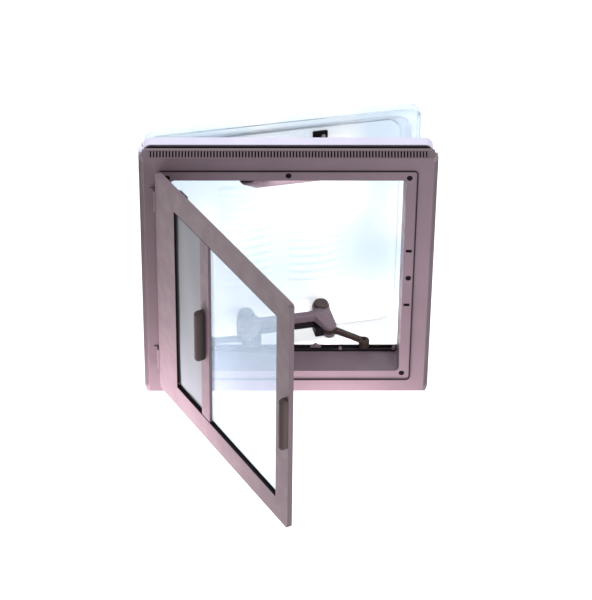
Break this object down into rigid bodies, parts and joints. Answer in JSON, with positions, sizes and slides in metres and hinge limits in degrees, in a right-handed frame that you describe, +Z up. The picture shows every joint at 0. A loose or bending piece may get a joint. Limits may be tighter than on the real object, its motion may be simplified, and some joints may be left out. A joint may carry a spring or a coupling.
{
  "type": "hinged wall window with blind and outer dome",
  "caption": "Square wall window with an inward hinged sash, pull-across blind, insect screen and a side-hinged outer dome on cranked stays.",
  "frame": {"origin": "centre of the square wall cut-out, on the outer face of the wall where the gasket seats", "axes": "+X right seen from the room, +Y outwards through the wall, +Z up"},
  "size_m": [0.4764, 0.5678, 0.474],
  "materials": {
    "taupe_plastic": "fine textured moulded plastic, warm taupe",
    "grip_plastic": "satin moulded plastic, grey brown",
    "rod_plastic": "satin glass-filled plastic, dark brown",
    "lilac_plastic": "smooth moulded plastic, off-white with a lilac cast",
    "black_plastic": "glass-filled moulded plastic, black",
    "rubber": "soft foam or lip rubber, black",
    "brush": "woven pile brush strip, black",
    "steel": "plain drawn steel",
    "black_steel": "blackened screw steel",
    "crown_acrylic": "clear cast acrylic with a pale cyan tint",
    "skin_acrylic": "clear moulded acrylic, ribbed",
    "screen_mesh": "fine woven insect netting, blue grey",
    "blind_cloth": "smooth coated blind cloth, grey blue"
  },
  "bodies": {
    "frame": {"inner_frame": "taupe_plastic", "vent_grille_top": "taupe_plastic", "vent_grille_right": "taupe_plastic", "vent_grille_bottom": "taupe_plastic", "vent_grille_left": "taupe_plastic", "outer_frame": "lilac_plastic", "wall_gasket": "rubber", "dome_seal": "rubber", "rim_seal": "rubber", "clamp_screws": "black_steel", "rail_bottom": "black_plastic", "rail_top": "black_plastic", "rail_stops": "taupe_plastic", "keeper_inserts": "black_plastic", "sash_hinge_frame_leaves": "taupe_plastic", "sash_hinge_pins": "steel", "dome_hinge_brackets": "lilac_plastic", "dome_hinge_pins": "steel"},
    "sash": {"sash_frame": "taupe_plastic", "sash_rear_cover": "taupe_plastic", "sash_hinge_sash_leaves": "taupe_plastic", "sash_grip": "grip_plastic", "snap_hooks": "black_plastic", "insect_screen": "screen_mesh", "screen_spline": "rubber", "brush_seal": "brush", "blind_guides": "black_plastic", "blind_housing": "taupe_plastic", "blind_end_brackets": "black_plastic", "blind_end_caps": "taupe_plastic", "roller_axles": "steel", "blind_sheet": "blind_cloth"},
    "blind_roller": {"roller_tube": "steel", "roller_plugs": "black_plastic", "blind_roll": "blind_cloth"},
    "blind_bar": {"blind_pull_bar": "taupe_plastic", "blind_grip": "grip_plastic", "glide_shoes": "black_plastic"},
    "dome": {"dome_crown": "crown_acrylic", "dome_inner_skin": "skin_acrylic", "dome_hinge_leaves": "lilac_plastic", "stay_bar_bottom": "taupe_plastic", "stay_bar_top": "taupe_plastic", "stay_base_bottom": "black_plastic", "stay_base_top": "black_plastic", "stay_base_screws": "steel", "stay_pivot_pins": "steel", "post_caps": "taupe_plastic"},
    "rod_bottom_right": {"stay_rod_bottom_right": "rod_plastic", "foot_pin_bottom_right": "black_steel"},
    "button_bottom_right": {"button_bottom_right": "grip_plastic"},
    "rod_bottom_left": {"stay_rod_bottom_left": "rod_plastic", "foot_pin_bottom_left": "black_steel"},
    "button_bottom_left": {"button_bottom_left": "grip_plastic"},
    "rod_top_right": {"stay_rod_top_right": "rod_plastic", "foot_pin_top_right": "black_steel"},
    "button_top_right": {"button_top_right": "grip_plastic"},
    "rod_top_left": {"stay_rod_top_left": "rod_plastic", "foot_pin_top_left": "black_steel"},
    "button_top_left": {"button_top_left": "grip_plastic"}
  },
  "joints": [
    {"name": "sash_hinge", "type": "hinge", "parent": "frame", "child": "sash", "pos_m": [-0.211, -0.042, 0], "axis": [0, 0, 1], "range_deg": [-49.5, 60.5]},
    {"name": "blind_slide", "type": "slide", "parent": "sash", "child": "blind_bar", "axis": [0.4924, -0.8704, 0], "range_m": [-0.075, 0.21], "deforming": ["blind_sheet"]},
    {"name": "roller_turn", "type": "hinge", "parent": "sash", "child": "blind_roller", "pos_m": [-0.17431, -0.06318, 0], "axis": [0, 0, 1], "range_deg": [-500, 1400]},
    {"name": "dome_hinge", "type": "hinge", "parent": "frame", "child": "dome", "pos_m": [-0.2355, 0.0305, 0], "axis": [0, 0, 1], "range_deg": [-12, 2]},
    {"name": "rod_turn_bottom_right", "type": "hinge", "parent": "dome", "child": "rod_bottom_right", "pos_m": [0.07307, 0.05059, 0], "axis": [0, 0, 1], "range_deg": [-13, 75.5]},
    {"name": "rod_turn_bottom_left", "type": "hinge", "parent": "dome", "child": "rod_bottom_left", "pos_m": [-0.06485, 0.02128, 0], "axis": [0, 0, 1], "range_deg": [-24.5, 4.5]},
    {"name": "rod_turn_top_right", "type": "hinge", "parent": "dome", "child": "rod_top_right", "pos_m": [0.07307, 0.05059, 0], "axis": [0, 0, 1], "range_deg": [-13, 75.5]},
    {"name": "rod_turn_top_left", "type": "hinge", "parent": "dome", "child": "rod_top_left", "pos_m": [-0.06485, 0.02128, 0], "axis": [0, 0, 1], "range_deg": [-24.5, 4.5]},
    {"name": "press_bottom_right", "type": "slide", "parent": "dome", "child": "button_bottom_right", "axis": [0, 0, -1], "range_m": [0, 0.003], "stiffness_N_per_m": 400, "springref_m": -0.002},
    {"name": "press_bottom_left", "type": "slide", "parent": "dome", "child": "button_bottom_left", "axis": [0, 0, -1], "range_m": [0, 0.003], "stiffness_N_per_m": 400, "springref_m": -0.002},
    {"name": "press_top_right", "type": "slide", "parent": "dome", "child": "button_top_right", "axis": [0, 0, 1], "range_m": [0, 0.003], "stiffness_N_per_m": 400, "springref_m": -0.002},
    {"name": "press_top_left", "type": "slide", "parent": "dome", "child": "button_top_left", "axis": [0, 0, 1], "range_m": [0, 0.003], "stiffness_N_per_m": 400, "springref_m": -0.002}
  ],
  "couplings": [
    {"joint": "roller_turn", "follows": "blind_slide", "rad_per_m": 116},
    {"joint": "rod_turn_bottom_right", "follows": "dome_hinge", "ratio": -6.235},
    {"joint": "rod_turn_bottom_left", "follows": "dome_hinge", "ratio": 1.985},
    {"joint": "rod_turn_top_right", "follows": "dome_hinge", "ratio": -6.235},
    {"joint": "rod_turn_top_left", "follows": "dome_hinge", "ratio": 1.985}
  ]
}
